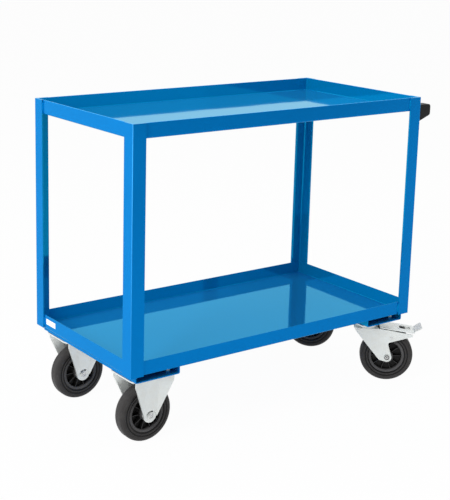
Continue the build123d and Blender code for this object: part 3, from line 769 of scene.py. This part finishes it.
class TROLLEY_OT_brackets(PieceOperator):
    """Zinc-plated brackets, plates, forks and swivel heads"""

    bl_idname = "trolley.brackets"
    bl_label = "Castor brackets and forks"

    def execute(self, context):
        sheets = {f"{castor}_bracket": FOLD_ANGLE for castor in FIXED}
        for castor in SWIVEL:
            sheets[f"{castor}_fork"] = SMOOTH_ANGLE
            sheets[f"{castor}_top_plate"] = SMOOTH_ANGLE
            hidden = [f"{castor}_king_pin", f"{castor}_swivel_balls", f"{castor}_pedal_pins"]
            coat_nodes(hidden, "bright_zinc_fastener")
        for sheet, smooth in sheets.items():
            softened(
                sheet, f"{sheet}_pressing", self.sizes.sheet_edge,
                "bright_zinc_sheet", smooth)
        return {"FINISHED"}


class TROLLEY_OT_wheels(PieceOperator):
    """Tyres with moulded rings, and ribbed wheel centres"""

    bl_idname = "trolley.wheels"
    bl_label = "Wheels"

    def tyre(self, radius, half):
        sizes = self.sizes
        seat, step = sizes.tyre_seat, sizes.tyre_ridge
        ridge = seat + 2 * step
        groove = ridge + 4 * step
        soft = step / 2
        part = turned(both_sides([
            (sizes.tyre_bead, seat, soft),
            (half - step, ridge, soft),
            (half, ridge + step, soft),
            (half, groove, soft),
            (half - step, groove + step, soft),
            (half - step, groove + 3 * step, soft),
            (half, groove + 4 * step, soft),
            (half, radius, sizes.tyre_shoulder),
        ]), sizes.steps)
        outer = groove + 4 * step
        # Painted shade in the grooves on the tyre's side
        return mark_sunk(part, lambda along, reach: reach < outer and along < half - step / 2)

    def centre(self, hub_half):
        sizes = self.sizes
        ring = sizes.tyre_seat - sizes.rim_ring
        face = sizes.tyre_bead
        edge = sizes.moulded_edge
        bm = turned(both_sides([
            (hub_half, sizes.hub_bore, edge / 3),
            (hub_half, sizes.hub, edge),
            (sizes.web, sizes.hub + edge, 2 * edge),
            (sizes.web, ring - edge, 2 * edge),
            (face, ring, edge),
            (face, sizes.tyre_seat - edge, edge / 2),
            (face - edge, sizes.tyre_seat, edge / 3),
        ]), sizes.steps)
        reach = ring - sizes.hub + 2 * edge
        depth = face - sizes.rib_recess
        for count in range(sizes.rib_count):
            turn = Matrix.Rotation(2 * pi * (count + 0.5) / sizes.rib_count, 4, "Y")
            for side in (-1, 1):
                rib = rounded_block((sizes.rib, depth, reach), edge / 2)
                inner = [v for v in rib.verts if v.co.y * side < 0]
                bmesh.ops.scale(rib, vec=(sizes.rib_flare, 1.0, 1.0), verts=inner)
                place = Matrix.Translation((0.0, side * depth / 2, (sizes.hub + ring) / 2))
                join(bm, rib, turn @ place)

        def sunk(along, _):
            """1 below the ribs' tops, half at them and 0 on the ring's and hub's faces, where shade is painted in
            the web's recess.
            """
            near = edge / 8
            return 1.0 if along < depth - near else 0.5 if along < depth + near else 0.0

        return mark_sunk(bm, sunk)

    def execute(self, context):
        low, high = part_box("left_front_tyre")
        tyre_radius, tyre_half = (high.z - low.z) / 2, (high.y - low.y) / 2
        low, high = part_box("left_front_wheel_centre")
        hub_half = (high.y - low.y) / 2
        for castor in CASTORS:
            tyre = bmesh.new()
            join(tyre, self.tyre(tyre_radius, tyre_half), wheel_place(castor))
            finished_piece(
                f"{castor}_rubber", tyre, f"{castor}_wheel", "tyre_rubber",
                [f"{castor}_tyre"])
            centre = bmesh.new()
            join(centre, self.centre(hub_half), wheel_place(castor))
            finished_piece(
                f"{castor}_moulding", centre, f"{castor}_wheel", "wheel_moulding",
                [f"{castor}_wheel_centre"])
        return {"FINISHED"}


class TROLLEY_OT_axles(PieceOperator):
    """Axle bolts, nuts, sleeves and rollers"""

    bl_idname = "trolley.axles"
    bl_label = "Axles"

    def bolt(self, head, end, recess_shaded):
        sizes = self.sizes
        edge = sizes.hex_edge
        soft = edge / 3
        radius = sizes.axle_head / 2
        shank = sizes.axle_size / 2
        seat = head + sizes.axle_head_height
        groove = head + sizes.axle_groove_depth
        dimple = head + sizes.axle_dimple_depth
        turns = int(sizes.thread_length / sizes.thread_pitch)
        thread = []
        for turn in range(turns, 0, -1):
            crest = end - edge - turn * sizes.thread_pitch
            thread.append((crest, shank, 0))
            thread.append((crest + sizes.thread_pitch / 2, shank - sizes.thread_depth, 0))
        part = turned([
            (dimple, 0.0, 0),
            (dimple, sizes.axle_dimple / 2 - soft, 0),
            (head, sizes.axle_dimple / 2, 0),
            (head, sizes.axle_groove_inner / 2, soft),
            (groove, sizes.axle_groove_inner / 2 + soft, soft),
            (groove, sizes.axle_groove_outer / 2 - soft, soft),
            (head, sizes.axle_groove_outer / 2, soft),
            (head, radius, edge),
            (seat, radius, edge / 4),
            (seat, shank, 0),
            *thread,
            (end - edge, shank, 0),
            (end, shank - edge, 0),
            (end, 0.0, 0),
        ], AXLE_STEPS)
        # Painted shade in the groove and dimple of a swivel castor's axle head
        if recess_shaded:
            inside, below = sizes.axle_groove_outer / 2, -head - edge / 2
            mark_sunk(part, lambda along, reach: along < below and reach < inside)
        return part

    def execute(self, context):
        sizes = self.sizes
        middle = joint("left_front_wheel_spin")["pos_m"][1]
        head, end = (corner.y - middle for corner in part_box("left_front_axle_bolt"))
        seat, top = (corner.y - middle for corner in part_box("left_front_axle_nut"))
        on_axle = Matrix.Translation((0.0, seat, 0.0)) @ Matrix.Rotation(-pi / 2, 4, "X")
        for castor in CASTORS:
            coat_nodes([f"{castor}_axle_sleeve", f"{castor}_axle_rollers"], "bright_zinc_fastener")
            body = "frame" if castor in FIXED else f"{castor}_swivel"
            bolt = bmesh.new()
            join(bolt, self.bolt(head, end, castor in SWIVEL), wheel_place(castor))
            nut = bmesh.new()
            join(nut, hexagon(sizes.axle_flats, top - seat, sizes.hex_edge), wheel_place(castor) @ on_axle)
            for name, bm, node in (("axle", bolt, "axle_bolt"), ("nut", nut, "axle_nut")):
                finished_piece(
                    f"{castor}_{name}", bm, body, "bright_zinc_fastener",
                    [f"{castor}_{node}"])
        return {"FINISHED"}


class TROLLEY_OT_brakes(PieceOperator):
    """Brake pedals, pads and pale treads"""

    bl_idname = "trolley.brakes"
    bl_label = "Brakes"

    def execute(self, context):
        for castor in SWIVEL:
            softened(
                f"{castor}_brake_pedal", f"{castor}_pedal_pressing", self.sizes.sheet_edge,
                "bright_zinc_sheet")
            coat_nodes([f"{castor}_pedal_tread"], "tread_moulding")
            softened(
                f"{castor}_brake_pad", f"{castor}_pad_moulding", self.sizes.pad_edge,
                "pad_moulding")
        return {"FINISHED"}


class TROLLEY_OT_studio(PieceOperator):
    """Floor, soft light and camera"""

    bl_idname = "trolley.studio"
    bl_label = "Studio"

    def lamp(self, name, place, side, power, mirrored):
        data = bpy.data.lights.new(name, "AREA")
        data.shape = "SQUARE"
        data.size = side
        data.energy = power
        lamp = bpy.data.objects.new(name, data)
        lamp.location = place
        lamp.visible_glossy = mirrored
        lamp.rotation_euler = (Vector(LAMP_AIM) - Vector(place)).to_track_quat("-Z", "Y").to_euler()
        bpy.context.scene.collection.objects.link(lamp)

    def world(self, stage):
        world = bpy.data.worlds.new("studio")
        nodes = Nodes(world)
        background = nodes.first("BACKGROUND")
        seen, mirrored = nodes.rays()
        direction = nodes.node("TexCoord", output="Generated")
        shown = seen.either(mirrored * nodes.from_behind(stage, direction, near=0.0, far=0.8))
        lighting = (1.0 - seen.either(mirrored)) * stage.ambient
        background.inputs["Color"].default_value = WHITE
        feed(nodes.tree, background.inputs["Strength"], shown.either(lighting))
        bpy.context.scene.world = world

    def floor(self, stage):
        bm = bmesh.new()
        bmesh.ops.create_grid(bm, x_segments=1, y_segments=1, size=stage.floor_size)
        mesh = bpy.data.meshes.new("floor")
        bm.to_mesh(mesh)
        bm.free()
        floor = bpy.data.objects.new("floor", mesh)
        bpy.context.scene.collection.objects.link(floor)
        finish = Finish(
            "pale_floor", {"Base Color": stage.floor, "Roughness": 0.9, "Specular IOR Level": 0.0})
        glow = finish.node("Emission", sockets={"Color": WHITE, "Strength": 1.0})
        seen, mirrored = finish.rays()
        lit = seen.either(mirrored * finish.from_behind(stage, finish.place, near=-0.4, far=1.5))
        matt = Wire(finish.tree, finish.shader.outputs[0])
        mixed = finish.node("MixShader", sockets={0: lit * stage.floor_glow, 1: matt, 2: glow})
        feed(finish.tree, finish.first("OUTPUT_MATERIAL").inputs["Surface"], mixed)
        mesh.materials.append(finish.material)

    def camera(self, stage):
        data = bpy.data.cameras.new("camera")
        data.lens = stage.camera_lens
        data.sensor_width = 36.0
        data.shift_x, data.shift_y = stage.camera_shift
        data.clip_end = 200.0
        camera = bpy.data.objects.new("camera", data)
        camera.location = stage.camera_place
        camera.rotation_euler = Euler(stage.camera_turn, "XYZ")
        bpy.context.scene.collection.objects.link(camera)
        bpy.context.scene.camera = camera

    def execute(self, context):
        stage = context.scene.trolley_stage
        self.floor(stage)
        self.world(stage)
        for name, settings in LAMPS.items():
            self.lamp(name, *settings)
        self.camera(stage)
        context.scene.view_settings.view_transform = "Standard"
        return {"FINISHED"}


OPERATORS = (
    TROLLEY_OT_frame,
    TROLLEY_OT_welds,
    TROLLEY_OT_plate,
    TROLLEY_OT_castor_fasteners,
    TROLLEY_OT_handle,
    TROLLEY_OT_brackets,
    TROLLEY_OT_wheels,
    TROLLEY_OT_axles,
    TROLLEY_OT_brakes,
    TROLLEY_OT_studio,
)


class TROLLEY_PT_panel(Panel):
    """Lists the trolley's pieces"""

    bl_idname = "TROLLEY_PT_panel"
    bl_label = "Table trolley"
    bl_space_type = "VIEW_3D"
    bl_region_type = "UI"
    bl_category = "Trolley"

    def draw(self, context):
        for operator in OPERATORS:
            self.layout.operator(operator.bl_idname)


GROUPS = {
    "trolley_sizes": TrolleySizes,
    "trolley_finishes": TrolleyFinishes,
    "trolley_stage": TrolleyStage,
}
CLASSES = tuple(GROUPS.values()) + OPERATORS + (TROLLEY_PT_panel,)


def register():
    for entry in CLASSES:
        bpy.utils.register_class(entry)
    for name, group in GROUPS.items():
        setattr(bpy.types.Scene, name, PointerProperty(type=group))


def unregister():
    for name in GROUPS:
        delattr(bpy.types.Scene, name)
    for entry in reversed(CLASSES):
        bpy.utils.unregister_class(entry)


def main():
    register()
    for operator in OPERATORS:
        group, name = operator.bl_idname.split(".")
        getattr(getattr(bpy.ops, group), name)()


if __name__ == "__main__":
    main()
